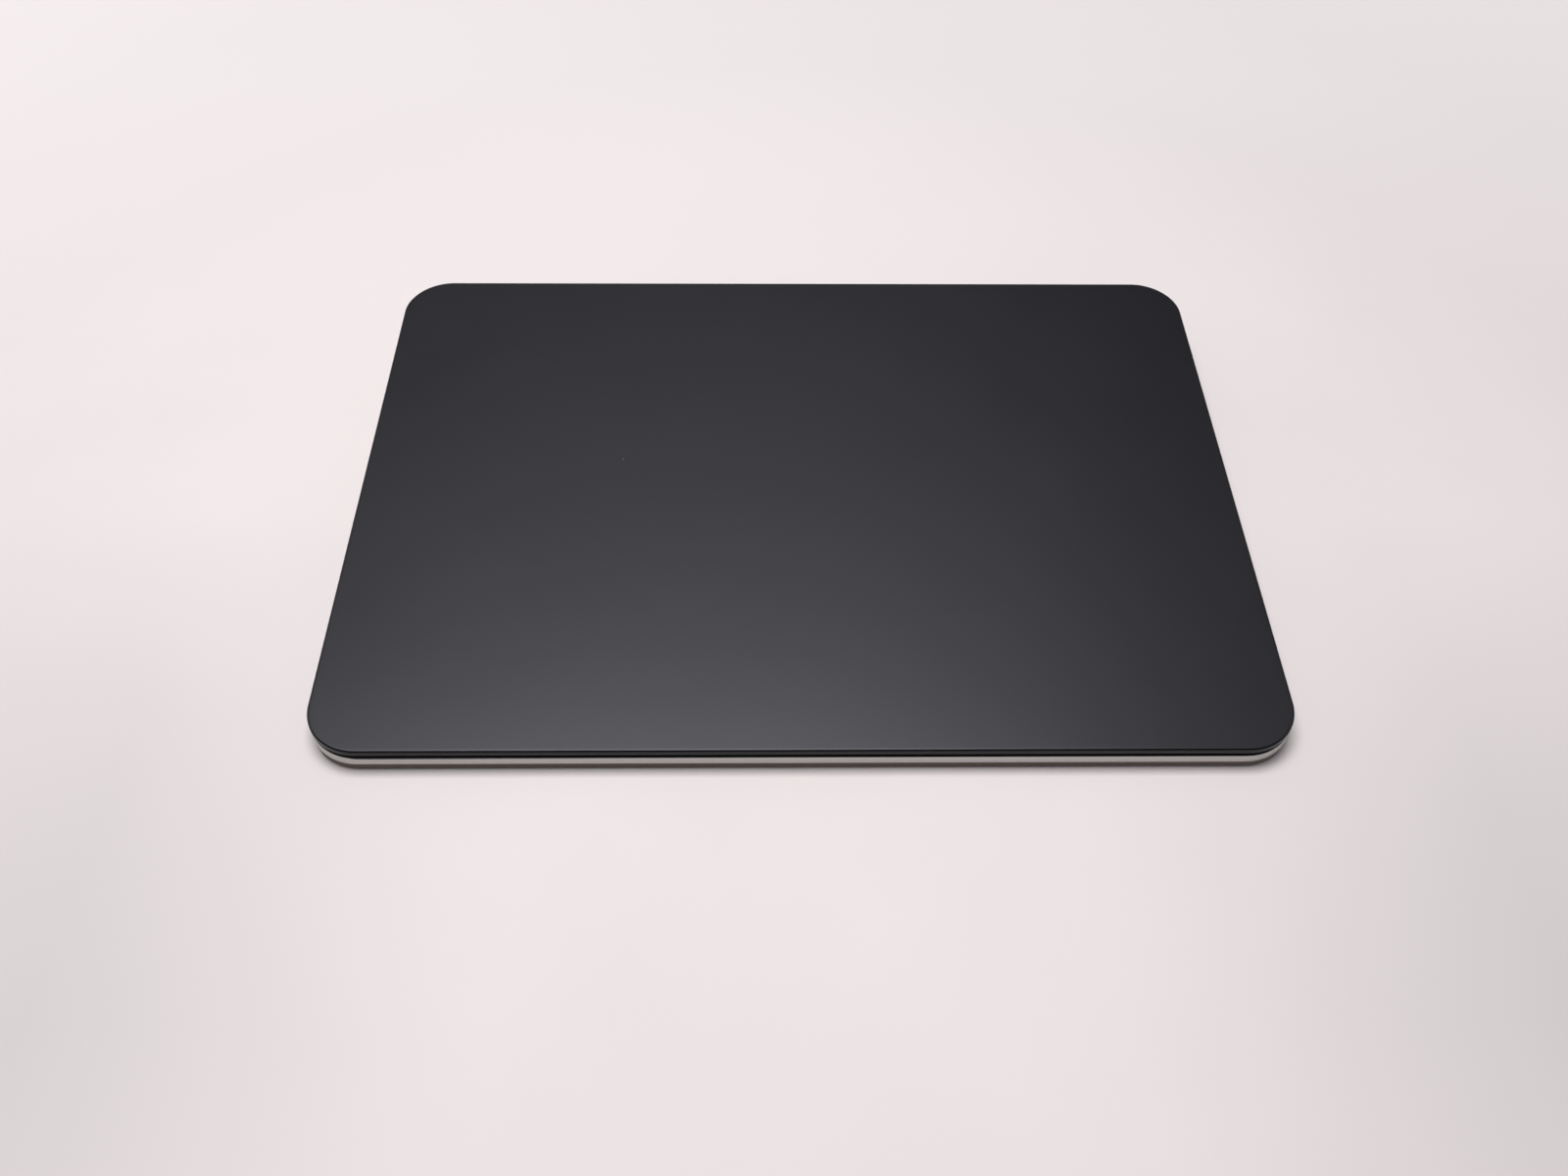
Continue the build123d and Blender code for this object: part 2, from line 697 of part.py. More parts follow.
actuator_socket_x = min(
    block_right - 2 * board_screw_inset - small_socket_length / 2,
    -bracket_length / 2 - play - actuator_flex_width / 2,
)
with BuildPart() as actuator_socket:
    with BuildSketch(Plane.XY.offset(board_top)):
        with Locations((actuator_socket_x, sensor_socket_y)):
            Rectangle(small_socket_length, socket_width)
    extrude(amount=socket_height)
actuator_socket.part.label = "actuator_socket"
export_step(actuator_socket.part, "parts/actuator_socket.step")


def ribbon(plane, points, bend, breadth):
    """A flat flex cable: a bent line drawn at the flex's thickness, extruded to its breadth."""
    with BuildPart() as flat_cable:
        with BuildSketch(plane):
            with BuildLine():
                FilletPolyline(*points, radius=bend)
            trace(line_width=flex_thickness)
        extrude(amount=breadth / 2, both=True)
    return flat_cable


# Battery lead, from the protection board over to its socket
battery_socket_right = block_right - play
battery_lead = ribbon(
    rear_view(battery_lead_y),
    [
        (cell_left - battery_ledge / 2 + flex_thickness, battery_board_top + flex_thickness / 2),
        (battery_left, battery_board_top + flex_thickness / 2),
        (battery_socket_right + play, board_top + socket_height / 2),
        (battery_socket_right, board_top + socket_height / 2),
    ],
    flex_thickness,
    battery_lead_width,
)
battery_lead.part.label = "battery_lead"
export_step(battery_lead.part, "parts/battery_lead.step")

# Sensor flex, folded once between the main board and the moving sensor board
socket_front = sensor_socket_y - socket_width / 2
connector_front = sensor_connector_y - socket_width / 2
flex_low = board_top + socket_height / 2
flex_high = height_at(connector_front, plate_drop + socket_height / 2)
flex_bend_y = connector_front - sensor_flex_reach / 2
sensor_flex = ribbon(
    Plane.YZ.offset(sensor_socket_x),
    [
        (socket_front, flex_low),
        (flex_bend_y, flex_low),
        (flex_bend_y, flex_high),
        (connector_front - contact_gap, flex_high),
    ],
    sensor_flex_bend_share * (flex_high - flex_low),
    sensor_flex_width,
)
sensor_flex.part.label = "sensor_flex"
export_step(sensor_flex.part, "parts/sensor_flex.step")

# Actuator flex, flat on the tray floor and up to its socket
flex_floor = inner_floor + flex_thickness / 2
actuator_flex_turn = block_front - 2 * play
with BuildPart() as actuator_flex:
    with BuildSketch(Plane.YZ.offset(actuator_socket_x)):
        with BuildLine():
            FilletPolyline(
                (actuator_y, flex_floor),
                (actuator_flex_turn, flex_floor),
                (actuator_flex_turn, flex_low),
                (socket_front, flex_low),
                radius=2 * flex_thickness,
            )
        trace(line_width=flex_thickness)
    extrude(amount=actuator_flex_width / 2, both=True)
    with BuildSketch(Plane.XY.offset(inner_floor)):
        with Locations((actuator_socket_x - actuator_flex_width / 2, actuator_y)):
            Rectangle(
                -actuator_length / 2 - actuator_socket_x + actuator_flex_width / 2,
                actuator_flex_width,
                align=(Align.MIN, Align.CENTER),
            )
    extrude(amount=flex_thickness)
actuator_flex.part.label = "actuator_flex"
export_step(actuator_flex.part, "parts/actuator_flex.step")

# Antenna flex, stuck inside the rear wall, its tail soldered to the board's arm
antenna_bottom = board_top + shield_height
with BuildPart() as antenna_flex:
    with BuildSketch(rear_view(inner_y)):
        with Locations((radio_x, antenna_bottom)):
            Rectangle(antenna_length, antenna_height, align=(Align.CENTER, Align.MIN))
    extrude(amount=antenna_thickness)
    with BuildSketch(Plane.YZ.offset(radio_x)):
        with BuildLine():
            FilletPolyline(
                (inner_y - antenna_thickness / 2, antenna_bottom + play),
                (inner_y - antenna_thickness / 2, board_top + antenna_thickness / 2),
                (inner_y - antenna_tail_reach, board_top + antenna_thickness / 2),
                radius=2 * antenna_thickness,
            )
        trace(line_width=antenna_thickness)
    extrude(amount=antenna_tail_width / 2, both=True)
antenna_flex.part.label = "antenna_flex"
export_step(antenna_flex.part, "parts/antenna_flex.step")

# Board screws
with BuildPart() as board_screws:
    with BuildSketch(Plane.XY.offset(board_top)):
        with Locations(*board_screw_places):
            screw_outline(screw_head_radius)
    extrude(amount=screw_head_height)
    with BuildSketch(Plane.XY.offset(board_top)):
        with Locations(*board_screw_places):
            screw_outline(screw_radius)
    extrude(amount=-board_thickness - screw_reach_share * standoff_height)
board_screws.part.label = "board_screws"
export_step(board_screws.part, "parts/board_screws.step")

# Charging port: collar in the wall, drawn shell, tongue with two rows of contacts, and a saddle
port_mouth = depth / 2 - port_recess
with BuildPart() as port_collar:
    with BuildSketch(rear_view(port_mouth)):
        with Locations((0, port_z)):
            SlotOverall(port_width + 2 * collar_reach, port_height + 2 * collar_reach)
    extrude(amount=wall - port_recess + collar_flange_thickness)
    with BuildSketch(rear_view(inner_y)):
        with Locations((0, port_z)):
            SlotOverall(
                port_width + 2 * (collar_reach + collar_flange), port_height + 2 * (collar_reach + collar_flange)
            )
    extrude(amount=collar_flange_thickness)
    with BuildSketch(rear_view(depth / 2)):
        with Locations((0, port_z)):
            SlotOverall(port_width + 2 * slip_fit, port_height + 2 * slip_fit)
    extrude(amount=wall + cut_overrun, mode=Mode.SUBTRACT)
port_collar.part.label = "port_collar"
export_step(port_collar.part, "parts/port_collar.step")

with BuildPart() as port_shell:
    with BuildSketch(rear_view(port_mouth)):
        with Locations((0, port_z)):
            SlotOverall(port_width, port_height)
            SlotOverall(
                port_width - 2 * port_shell_wall, port_height - 2 * port_shell_wall, mode=Mode.SUBTRACT
            )
    extrude(amount=port_length)
port_shell.part.label = "port_shell"
export_step(port_shell.part, "parts/port_shell.step")

tongue_front = port_mouth - tongue_recess
tongue_root = tongue_front - tongue_length
port_back = port_mouth - port_length
with BuildPart() as port_tongue:
    with BuildSketch(rear_view(tongue_front)):
        with Locations((0, port_z)):
            Rectangle(tongue_width, tongue_thickness)
    extrude(amount=tongue_length)
    with BuildSketch(rear_view(tongue_root)):
        with Locations((0, port_z)):
            SlotOverall(port_width - 2 * port_shell_wall, port_height - 2 * port_shell_wall)
    extrude(amount=tongue_root - port_back)
port_tongue.part.label = "port_tongue"
export_step(port_tongue.part, "parts/port_tongue.step")

contact_step = contact_width + contact_side_gap
with BuildPart() as port_contacts:
    with BuildSketch(rear_view(tongue_root + contact_length)):
        with Locations((0, port_z)):
            with GridLocations(contact_step, tongue_thickness + contact_thickness, contact_count, 2):
                Rectangle(contact_width, contact_thickness)
    extrude(amount=contact_length)
port_contacts.part.label = "port_contacts"
export_step(port_contacts.part, "parts/port_contacts.step")

with BuildPart() as port_bracket:
    with BuildSketch(rear_view(saddle_rear)):
        with Locations((0, board_top)):
            Rectangle(
                port_width + 2 * saddle_ear + 2 * saddle_thickness,
                saddle_thickness,
                align=(Align.CENTER, Align.MIN),
            )
            Rectangle(
                port_width + 2 * (slip_fit + saddle_thickness),
                port_height + saddle_thickness,
                align=(Align.CENTER, Align.MIN),
            )
            Rectangle(
                port_width + 2 * slip_fit,
                port_height,
                align=(Align.CENTER, Align.MIN),
                mode=Mode.SUBTRACT,
            )
    extrude(amount=saddle_depth)
    with BuildSketch(Plane.XY.offset(board_top)):
        with Locations(*port_screw_places):
            screw_outline(screw_radius + slip_fit)
    extrude(amount=saddle_thickness, mode=Mode.SUBTRACT)
port_bracket.part.label = "port_bracket"
export_step(port_bracket.part, "parts/port_bracket.step")

with BuildPart() as port_screws:
    with BuildSketch(Plane.XY.offset(board_top + saddle_thickness)):
        with Locations(*port_screw_places):
            screw_outline(screw_head_radius)
    extrude(amount=screw_head_height)
    with BuildSketch(Plane.XY.offset(board_top + saddle_thickness)):
        with Locations(*port_screw_places):
            screw_outline(screw_radius)
    extrude(amount=-saddle_thickness - board_thickness - screw_reach_share * standoff_height)
port_screws.part.label = "port_screws"
export_step(port_screws.part, "parts/port_screws.step")

# Power switch: a knob in the wall slot, its flange behind the wall, a fork that drags the switch's lever.
# It is modelled off, with the knob at the end of the slot away from the port.
knob_length = slot_length - switch_travel - 2 * knob_gap
knob_height = slot_height - 2 * knob_gap
knob_x = slot_x - switch_travel / 2
flange_outer = inner_y - slider_gap
flange_inner = flange_outer - slider_flange_thickness
flange_height = slot_height + 2 * slider_flange_lip
flange_length = knob_length + 2 * switch_travel + 2 * slider_flange_lip
knob_face = depth / 2 - knob_recess
knob_ridge_step = knob_ridge_width + knob_ridge_gap
fork_gap = lever_width + 2 * slip_fit
with BuildPart() as switch_slider:
    with BuildSketch(rear_view(knob_face)):
        with Locations((knob_x, port_z)):
            SlotOverall(knob_length, knob_height)
    extrude(amount=knob_face - flange_outer)
    with BuildSketch(rear_view(knob_face)):
        with Locations((knob_x, port_z)):
            with GridLocations(knob_ridge_step, knob_height, knob_ridge_count, 1):
                Rectangle(knob_ridge_width, slot_height)
    extrude(amount=knob_ridge_depth, mode=Mode.SUBTRACT)
    with BuildSketch(rear_view(flange_outer)):
        with Locations((knob_x, port_z)):
            RectangleRounded(flange_length, flange_height, slider_flange_lip)
    extrude(amount=slider_flange_thickness)
    with BuildSketch(rear_view(flange_inner)):
        with Locations((knob_x, port_z)):
            with GridLocations(fork_gap + prong_width, prong_height, 2, 1):
                Rectangle(prong_width, prong_height)
    extrude(amount=prong_length)
switch_slider.part.label = "switch_slider"
export_step(switch_slider.part, "parts/switch_slider.step")

# Green film on the flange beside the knob, which the slot shows only when the switch is on
with BuildPart() as switch_indicator:
    with BuildSketch(rear_view(flange_outer + indicator_thickness)):
        with Locations((knob_x - knob_length / 2 - slip_fit, port_z)):
            Rectangle(switch_travel, slot_height, align=(Align.MAX, Align.CENTER))
    extrude(amount=indicator_thickness)
switch_indicator.part.label = "switch_indicator"
export_step(switch_indicator.part, "parts/switch_indicator.step")

# Guide that keeps the slider against the wall, standing on the main board
guide_outer = flange_inner - guide_gap
guide_inner = guide_outer - guide_thickness
fork_width = fork_gap + 2 * prong_width
with BuildPart() as switch_guide:
    with BuildSketch(rear_view(guide_outer)):
        with Locations((slot_x, board_top)):
            Rectangle(guide_length, guide_height, align=(Align.CENTER, Align.MIN))
        with Locations((slot_x, port_z)):
            Rectangle(
                fork_width + switch_travel + 2 * play, prong_height + 2 * guide_gap, mode=Mode.SUBTRACT
            )
    extrude(amount=guide_thickness)
    with BuildSketch(rear_view(guide_inner)):
        with Locations((slot_x, board_top)):
            Rectangle(guide_length, guide_thickness, align=(Align.CENTER, Align.MIN))
    extrude(amount=guide_foot)
switch_guide.part.label = "switch_guide"
export_step(switch_guide.part, "parts/switch_guide.step")

# Electrical switch: a hollow housing on the board, and the lever that the fork drags
housing_rear = flange_inner - prong_length - guide_gap
lever_window = switch_travel + lever_width + 2 * guide_gap
with BuildPart() as switch_housing:
    with BuildSketch(rear_view(housing_rear)):
        with Locations((slot_x, board_top)):
            Rectangle(housing_length, housing_height, align=(Align.CENTER, Align.MIN))
    extrude(amount=housing_depth)
    with BuildSketch(rear_view(housing_rear - housing_wall)):
        with Locations((slot_x, board_top + housing_wall)):
            Rectangle(
                housing_length - 2 * housing_wall,
                housing_height - 2 * housing_wall,
                align=(Align.CENTER, Align.MIN),
            )
    extrude(amount=housing_depth - 2 * housing_wall, mode=Mode.SUBTRACT)
    with BuildSketch(rear_view(housing_rear)):
        with Locations((slot_x, port_z)):
            Rectangle(lever_window, prong_height + 2 * guide_gap)
    extrude(amount=housing_wall, mode=Mode.SUBTRACT)
switch_housing.part.label = "switch_housing"
export_step(switch_housing.part, "parts/switch_housing.step")

lever_front = housing_rear - housing_wall - guide_gap
with BuildPart() as switch_lever:
    with BuildSketch(rear_view(flange_inner - prong_length / 2)):
        with Locations((knob_x, port_z)):
            Rectangle(lever_width, prong_height)
    extrude(amount=flange_inner - prong_length / 2 - lever_front)
    with BuildSketch(rear_view(lever_front)):
        with Locations((knob_x, port_z)):
            Rectangle(lever_base_length, prong_height)
    extrude(amount=housing_depth / 2)
switch_lever.part.label = "switch_lever"
export_step(switch_lever.part, "parts/switch_lever.step")
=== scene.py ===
from math import pi, radians, sqrt

import bmesh
import bpy
import numpy as np
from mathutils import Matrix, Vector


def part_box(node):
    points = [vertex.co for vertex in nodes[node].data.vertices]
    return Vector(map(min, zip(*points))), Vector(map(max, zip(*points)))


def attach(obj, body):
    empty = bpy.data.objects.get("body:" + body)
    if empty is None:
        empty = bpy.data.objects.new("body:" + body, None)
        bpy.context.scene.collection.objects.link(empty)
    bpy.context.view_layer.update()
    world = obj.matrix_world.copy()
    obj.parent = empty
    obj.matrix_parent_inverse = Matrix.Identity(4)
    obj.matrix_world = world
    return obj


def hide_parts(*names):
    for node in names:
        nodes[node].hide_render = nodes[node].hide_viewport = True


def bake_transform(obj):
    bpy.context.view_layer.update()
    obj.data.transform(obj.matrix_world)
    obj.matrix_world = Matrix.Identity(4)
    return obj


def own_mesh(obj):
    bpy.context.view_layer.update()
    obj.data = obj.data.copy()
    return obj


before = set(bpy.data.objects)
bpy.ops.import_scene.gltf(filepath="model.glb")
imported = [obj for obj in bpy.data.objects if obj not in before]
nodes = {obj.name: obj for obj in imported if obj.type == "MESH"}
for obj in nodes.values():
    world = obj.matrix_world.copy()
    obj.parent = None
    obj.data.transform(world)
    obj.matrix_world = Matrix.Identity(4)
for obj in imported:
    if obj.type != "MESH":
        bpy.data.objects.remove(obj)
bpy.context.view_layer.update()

# A free-standing trackpad in metres: +X right, +Y to the rear, +Z up, origin on the desk under its middle.
# Its pieces follow in the order in which they are put together, from the tray up to the glass.
mm = 0.001

# Camera: 18 cm above the desk and as far in front of the trackpad's middle, a little to the left of it,
# looking down on the touch surface.
eye = bpy.data.cameras.new("camera")
eye.sensor_fit = "HORIZONTAL"
eye.sensor_width = 36.0
eye.lens = 31.587
eye.clip_start = 0.005
eye.clip_end = 20.0
camera = bpy.data.objects.new("camera", eye)
camera.location = (-6.342 * mm, -182.675 * mm, 184.618 * mm)
camera.rotation_euler = (radians(41.6257), radians(-0.5802), radians(-0.6105))
bpy.context.scene.collection.objects.link(camera)
bpy.context.scene.camera = camera
bpy.context.scene.view_settings.view_transform = "Standard"


# Bench: a broad board, painted white and rubbed smooth by use. It isn't part of the trackpad, and only
# carries it and takes its shadow.
class Wire:
    """A socket in a shader. + and * between wires and numbers add Math nodes."""

    def __init__(self, tree, socket=None):
        self.tree = tree
        self.socket = socket

    def node(self, kind, settings, sockets, output=0):
        """Adds a node of that type, makes its settings, then gives its sockets their values or wires."""
        made = self.tree.nodes.new(kind)
        for name, value in settings.items():
            if name == "stops":
                ramp = made.color_ramp.elements
                while len(ramp) < len(value):
                    ramp.new(1.0)
                for stop, (place, shade) in zip(ramp, value):
                    stop.position = place
                    stop.color = shade
            else:
                setattr(made, name, value)
        for name, value in sockets.items():
            if isinstance(value, Wire):
                self.tree.links.new(value.socket, made.inputs[name])
            else:
                made.inputs[name].default_value = value
        return Wire(self.tree, made.outputs[output])

    def maths(self, operation, first, second):
        return self.node("ShaderNodeMath", {"operation": operation}, {0: first, 1: second})

    def __add__(self, other):
        return self.maths("ADD", self, other)

    def __radd__(self, other):
        return self.maths("ADD", other, self)

    def __mul__(self, other):
        return self.maths("MULTIPLY", self, other)

    def __rmul__(self, other):
        return self.maths("MULTIPLY", other, self)


def spot(wires):
    """The point being shaded, in metres, on the piece's own coordinates."""
    return wires.node("ShaderNodeTexCoord", {}, {}, "Object")


def along_axis(wires, vector, axis):
    """That vector's X, Y or Z."""
    return wires.node("ShaderNodeSeparateXYZ", {}, {"Vector": vector}, axis)


def noise(wires, size, detail=2.0, roughness=0.5, place=None):
    """Noise from 0 to 1 whose features are about that size in metres."""
    sockets = {"Vector": place or spot(wires), "Scale": 1 / size, "Detail": detail, "Roughness": roughness}
    return wires.node("ShaderNodeTexNoise", {}, sockets, "Fac")


def between(wires, value, low, high):
    """That value stretched so that low gives 0 and high gives 1, and held there."""
    sockets = {"Value": value, "From Min": low, "From Max": high}
    return wires.node("ShaderNodeMapRange", {"clamp": True}, sockets)


def mixed(wires, share, first, second):
    """The first colour where share is 0 and the second where it is 1. The Mix node numbers its sockets for
    colours 6 and 7, and its output for a colour 2."""
    settings = {"data_type": "RGBA", "clamp_factor": True}
    return wires.node("ShaderNodeMix", settings, {0: share, 6: first, 7: second}, 2)


def finish(name, constants):
    """A material with those constants on its shader's own sockets. Gives it, its wires and a way to link."""
    material = bpy.data.materials.new(name)
    material.use_nodes = True
    tree = material.node_tree
    shader = tree.nodes["Principled BSDF"]
    for socket, value in constants.items():
        shader.inputs[socket].default_value = value

    def feed(socket, wire):
        tree.links.new(wire.socket, shader.inputs[socket])

    return material, Wire(tree), feed


def raised(wires, height, distance):
    """A normal bent by that height map, whose 1 stands that many metres proud."""
    return wires.node("ShaderNodeBump", {}, {"Height": height, "Distance": distance, "Strength": 1.0})


def ray(wires, kind):
    """1 for rays of that kind and otherwise 0."""
    return wires.node("ShaderNodeLightPath", {}, {}, f"Is {kind} Ray")


bench_half = 3.0
bench_corners = [
    (-bench_half, -bench_half, 0),
    (bench_half, -bench_half, 0),
    (bench_half, bench_half, 0),
    (-bench_half, bench_half, 0),
]
bench_mesh = bpy.data.meshes.new("bench")
bench_mesh.from_pydata(bench_corners, [], [(0, 1, 2, 3)])
bench = bpy.data.objects.new("bench", bench_mesh)
bpy.context.scene.collection.objects.link(bench)
rubbed = {"Roughness": 0.55, "Specular IOR Level": 0.2, "Emission Strength": 1.0}
paint, wires, feed = finish("bench_paint", rubbed)
distance = wires.node("ShaderNodeVectorMath", {"operation": "LENGTH"}, {0: spot(wires)}, "Value")
across = along_axis(wires, spot(wires), "X")
along = along_axis(wires, spot(wires), "Y")
# Painted light and shade: the paint is made a little lighter behind the trackpad, and greyer in front of it
# to the left and right, where the square of the place makes both sides alike. The cloud is the paint's own
# tone
cloud = between(wires, noise(wires, 90 * mm, 4.0, 0.55), 0.35, 0.65)
bench_tone_and_painted_light = mixed(wires, cloud, (0.845, 0.785, 0.790, 1), (0.875, 0.813, 0.818, 1))
# Painted light: a lighter colour behind the trackpad
bench_tone_and_painted_light = mixed(wires, between(wires, along, 0.03, 0.16), bench_tone_and_painted_light, (0.90, 0.85, 0.85, 1))
# Painted shade: a grey colour in front of the trackpad to the left and right, fading with distance
beside = between(wires, across * across, 0.002, 0.012)
before = between(wires, along, 0.0, -0.10)
painted_shade_reach = between(wires, distance, 0.25, 0.12)
feed("Base Color", mixed(wires, beside * before * painted_shade_reach, bench_tone_and_painted_light, (0.665, 0.630, 0.630, 1)))
feed("Normal", raised(wires, noise(wires, 1.5 * mm), 0.01 * mm))
# Away from the lamp the board keeps its brightness for the eye and for what mirrors it, by a haze that
# grows as the lamp's light falls off with distance
haze_stops = [
    (0.17, (0.0, 0.0, 0.0, 1)),
    (0.24, (0.062, 0.058, 0.059, 1)),
    (0.33, (0.180, 0.169, 0.171, 1)),
    (0.45, (0.300, 0.282, 0.284, 1)),
    (0.65, (0.425, 0.400, 0.403, 1)),
    (1.00, (0.530, 0.500, 0.503, 1)),
]
haze = wires.node("ShaderNodeValToRGB", {"stops": haze_stops}, {"Fac": distance})
seen = ray(wires, "Camera") + ray(wires, "Glossy") + ray(wires, "Transmission")
feed("Emission Color", mixed(wires, seen, (0, 0, 0, 1), haze))
bench_mesh.materials.append(paint)

# Light: one soft panel overhead, a little to the left, in a dim room. Its far walls look pale, and part of
# the ceiling glows where the touch surface mirrors it.
panel = bpy.data.lights.new("panel", "AREA")
panel.shape = "RECTANGLE"
panel.size = 0.40
panel.size_y = 0.28
panel.energy = 3.45
panel.color = (1.0, 0.985, 0.98)
panel_stand = bpy.data.objects.new("panel", panel)
panel_stand.location = (-0.07, 0.035, 0.62)
bpy.context.scene.collection.objects.link(panel_stand)
room = bpy.data.worlds.new("room")
room.use_nodes = True
wires = Wire(room.node_tree)
heading = wires.node("ShaderNodeTexCoord", {}, {}, "Generated")
far_wall = between(wires, along_axis(wires, heading, "Z"), 0.42, 0.06)
towards_glow = {0: heading, 1: (-0.04, 0.42, 0.907)}
nearness = wires.node("ShaderNodeVectorMath", {"operation": "DOT_PRODUCT"}, towards_glow, "Value")
glow = between(wires, nearness, 0.905, 1.0)
walls = mixed(wires, glow, (0.055, 0.055, 0.065, 1), (1.72, 1.69, 1.77, 1))
walls = mixed(wires, far_wall, walls, (0.78, 0.745, 0.75, 1))
mirrored = ray(wires, "Glossy") + ray(wires, "Transmission")
walls = mixed(wires, mirrored, (0.22, 0.22, 0.225, 1), walls)
walls = mixed(wires, ray(wires, "Camera"), walls, (0.82, 0.79, 0.795, 1))
room_light = room.node_tree.nodes["Background"]
room_light.inputs["Strength"].default_value = 1.0
room.node_tree.links.new(walls.socket, room_light.inputs["Color"])
bpy.context.scene.world = room

# Tray: cut from one billet of aluminium, blasted with fine beads and clear anodised. Its outside shows as a
# silver band under the glass. The skirt below the band is coloured dark as painted shade, and the rim's top
# is given the black bonding film, so both stay dark.
plate_width = 160.0 * mm
plate_depth = 114.9 * mm
skirt_top = 1.55 * mm
rim_width = 1.6 * mm
same_place = 0.0005 * mm


def cleaned(mesh, flattest=0.0):
    """Merges points that coincide, joins faces that turn by under flattest degrees and turns all outwards."""
    work = bmesh.new()
    work.from_mesh(mesh)
    bmesh.ops.remove_doubles(work, verts=work.verts, dist=same_place)
    if flattest:
        bmesh.ops.dissolve_limit(work, verts=work.verts, edges=work.edges, angle_limit=radians(flattest))
    bmesh.ops.recalc_face_normals(work, faces=work.faces)
    work.to_mesh(mesh)
    work.free()
    return mesh


def copied(node, name, flattest=0.0):
    """A cleaned copy of a CAD node's mesh, under a name of its own."""
    mesh = cleaned(nodes[node].data.copy(), flattest)
    mesh.name = name
    return mesh


def fit(mesh, body, replaced, material, sharpest=30):
    """Puts a finished mesh in the scene under its own name, smooth but for edges that turn by more than
    sharpest degrees, in place of those nodes. It rides on its body, or on none when it has no body."""
    mesh.polygons.foreach_set("use_smooth", [True] * len(mesh.polygons))
    mesh.set_sharp_from_angle(angle=radians(sharpest))
    mesh.materials.clear()
    mesh.materials.append(material)
    piece = bpy.data.objects.new(mesh.name, mesh)
    bpy.context.scene.collection.objects.link(piece)
    if body:
        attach(piece, body)
    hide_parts(*replaced)
    return piece


def even_out(piece):
    """Keeps the flats of a piece flat in its shading, however its faces are cut."""
    even = piece.modifiers.new("even_normals", "WEIGHTED_NORMAL")
    even.keep_sharp = True


def recolour(piece, material, chosen):
    """Gives a second material to the faces whose middle and normal pass that test."""
    piece.data.materials.append(material)
    for face in piece.data.polygons:
        if chosen(face.center, face.normal):
            face.material_index = len(piece.data.materials) - 1


def on_skirt(middle, normal):
    """True below the silver band on what faces sideways."""
    return middle.z < skirt_top and abs(normal.z) < 0.3


def on_rim(middle, normal):
    """True on the flat top of the rim, which is given the same black film as the glass above it."""
    beside = max(abs(middle.x) - plate_width / 2, abs(middle.y) - plate_depth / 2) > -rim_width
    return normal.z > 0.99 and beside


aluminium, wires, feed = finish("blasted_aluminium", {"Metallic": 1.0})
bead = noise(wires, 0.11 * mm, 2.0, 0.6)
drift = noise(wires, 18 * mm)
feed("Base Color", mixed(wires, drift, (0.48, 0.476, 0.464, 1), (0.51, 0.506, 0.494, 1)))
feed("Roughness", 0.34 + bead * 0.10)
feed("Normal", raised(wires, bead, 0.006 * mm))
tray_mesh = copied("base_case", "tray", flattest=0.2)
tray = fit(tray_mesh, "case", ["base_case"], aluminium)
even_out(tray)

# Painted shade: the skirt below the silver band is coloured dark brown for the shade that lies there, with a
# little random tone
skirt_shade_paint, wires, feed = finish("painted_skirt_shade", {"Specular IOR Level": 0.2})
patchy = noise(wires, 4 * mm, 3.0)
feed("Base Color", mixed(wires, patchy, (0.115, 0.095, 0.082, 1), (0.135, 0.112, 0.096, 1)))
feed("Roughness", 0.55 + noise(wires, 0.15 * mm) * 0.15)
recolour(tray, skirt_shade_paint, on_skirt)

film, wires, feed = finish("bonding_film", {"Roughness": 0.6})
blot = noise(wires, 3 * mm, 3.0)
feed("Base Color", mixed(wires, blot, (0.010, 0.010, 0.011, 1), (0.020, 0.020, 0.021, 1)))
feed("Normal", raised(wires, blot, 0.01 * mm))
recolour(tray, film, on_rim)

# Feet: four discs of moulded silicone rubber, pressed and glued into round pockets in the tray's underside,
# with a soft edge round the sole.
corner_names = ("front_left", "front_right", "rear_left", "rear_right")
foot_radius = 5.0 * mm
sole_bevel = 0.15 * mm
flat_radius = foot_radius - 4 * sole_bevel


def skin(name, rings, looped=False):
    """Rings of equal count joined in order. A looped skin joins its last ring to its first, and any other
    gets a flat face over both end rings. Points that coincide are merged and all faces turned outwards."""
    count = len(rings[0])
    here = np.arange(count)
    after = (here + 1) % count
    total = len(rings) * count
    starts = np.arange(len(rings) if looped else len(rings) - 1)[:, None] * count
    bands = [starts + here, starts + after, (starts + count + after) % total, (starts + count + here) % total]
    faces = np.stack(bands, 2).reshape(-1, 4).tolist()
    if not looped:
        faces += [here[::-1].tolist(), (here + total - count).tolist()]
    mesh = bpy.data.meshes.new(name)
    mesh.from_pydata(np.concatenate(rings).tolist(), [], faces)
    return cleaned(mesh)


def rounded_profile(corners, reach, steps=3):
    """A profile whose inner corners are cut by arcs that start reach before them: each is a quadratic curve
    between the two cut points, with the corner as its handle."""
    corners = np.array(corners)
    run = [corners[:1]]
    for before, here, after in zip(corners[:-2], corners[1:-1], corners[2:]):
        first = here + (before - here) * reach / np.linalg.norm(before - here)
        last = here + (after - here) * reach / np.linalg.norm(after - here)
        t = np.linspace(0, 1, steps + 1)[:, None]
        run.append((1 - t) ** 2 * first + 2 * t * (1 - t) * here + t**2 * last)
    run.append(corners[-1:])
    return np.concatenate(run)


def circle(middle, radius, height, steps=96):
    """A level circle: middle plus radius times the cosine and sine of each share of a turn."""
    angle = np.arange(steps) * 2 * pi / steps
    x = middle.x + radius * np.cos(angle)
    y = middle.y + radius * np.sin(angle)
    return np.stack([x, y, np.full(steps, height)], 1)


